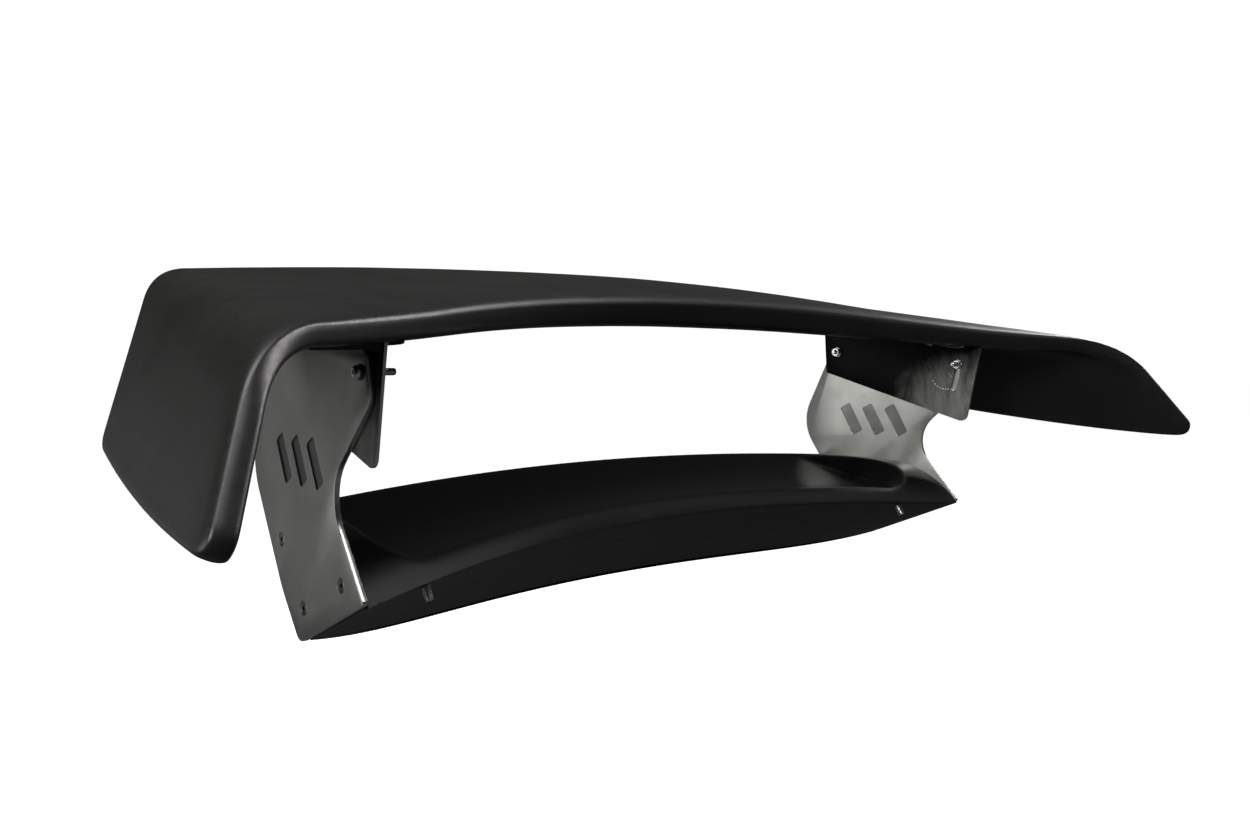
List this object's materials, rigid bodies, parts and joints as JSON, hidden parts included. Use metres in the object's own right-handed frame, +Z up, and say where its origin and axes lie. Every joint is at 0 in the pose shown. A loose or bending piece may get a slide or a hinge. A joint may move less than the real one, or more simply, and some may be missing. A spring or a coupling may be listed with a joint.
{
  "type": "racing rear wing",
  "caption": "Crescent-shaped racing rear wing with turned-down winglets, tilting on two toed-in uprights over a lower ducktail blade.",
  "frame": {"origin": "centre of the flat seat under the lower blade, where the blade rests on a deck lid", "axes": "+X to the wing's right end along its span, +Y rearward, +Z up with the wing at its lowest setting"},
  "size_m": [1.3484, 0.4551, 0.3448],
  "materials": {
    "black_gelcoat": "sanded black gelcoat over laminate",
    "blasted_aluminium": "blasted plate with bright machined edges",
    "dark_bracket_metal": "dark smudged plate",
    "stainless_steel": "turned stainless fasteners",
    "core_foam": "closed-cell core"
  },
  "bodies": {
    "base": {"blade_top_skin": "black_gelcoat", "blade_under_skin": "black_gelcoat", "clamp_bolt_left": "stainless_steel", "clamp_bolt_right": "stainless_steel", "clamp_nut_left": "stainless_steel", "clamp_nut_right": "stainless_steel", "clamp_washer_in_left": "stainless_steel", "clamp_washer_in_right": "stainless_steel", "clamp_washer_out_left": "stainless_steel", "clamp_washer_out_right": "stainless_steel", "deck_stud_left": "stainless_steel", "deck_stud_right": "stainless_steel", "end_rib_left": "core_foam", "end_rib_right": "core_foam", "pivot_bolt_left": "stainless_steel", "pivot_bolt_right": "stainless_steel", "pivot_nut_left": "stainless_steel", "pivot_nut_right": "stainless_steel", "pivot_washer_in_left": "stainless_steel", "pivot_washer_in_right": "stainless_steel", "pivot_washer_out_left": "stainless_steel", "pivot_washer_out_right": "stainless_steel", "upright_left": "blasted_aluminium", "upright_right": "blasted_aluminium", "upright_screw_left_1": "stainless_steel", "upright_screw_left_2": "stainless_steel", "upright_screw_left_3": "stainless_steel", "upright_screw_right_1": "stainless_steel", "upright_screw_right_2": "stainless_steel", "upright_screw_right_3": "stainless_steel"},
    "wing": {"bracket_left": "dark_bracket_metal", "bracket_right": "dark_bracket_metal", "flange_screw_left_1": "stainless_steel", "flange_screw_left_2": "stainless_steel", "flange_screw_right_1": "stainless_steel", "flange_screw_right_2": "stainless_steel", "hard_point_left_1": "blasted_aluminium", "hard_point_left_2": "blasted_aluminium", "hard_point_right_1": "blasted_aluminium", "hard_point_right_2": "blasted_aluminium", "wing_lower_skin": "black_gelcoat", "wing_spar": "core_foam", "wing_upper_skin": "black_gelcoat"}
  },
  "joints": [
    {"name": "wing_tilt", "type": "hinge", "parent": "base", "child": "wing", "pos_m": [0, 0.03173, 0.21484], "axis": [-1, 0, 0], "range_deg": [0, 10]}
  ]
}
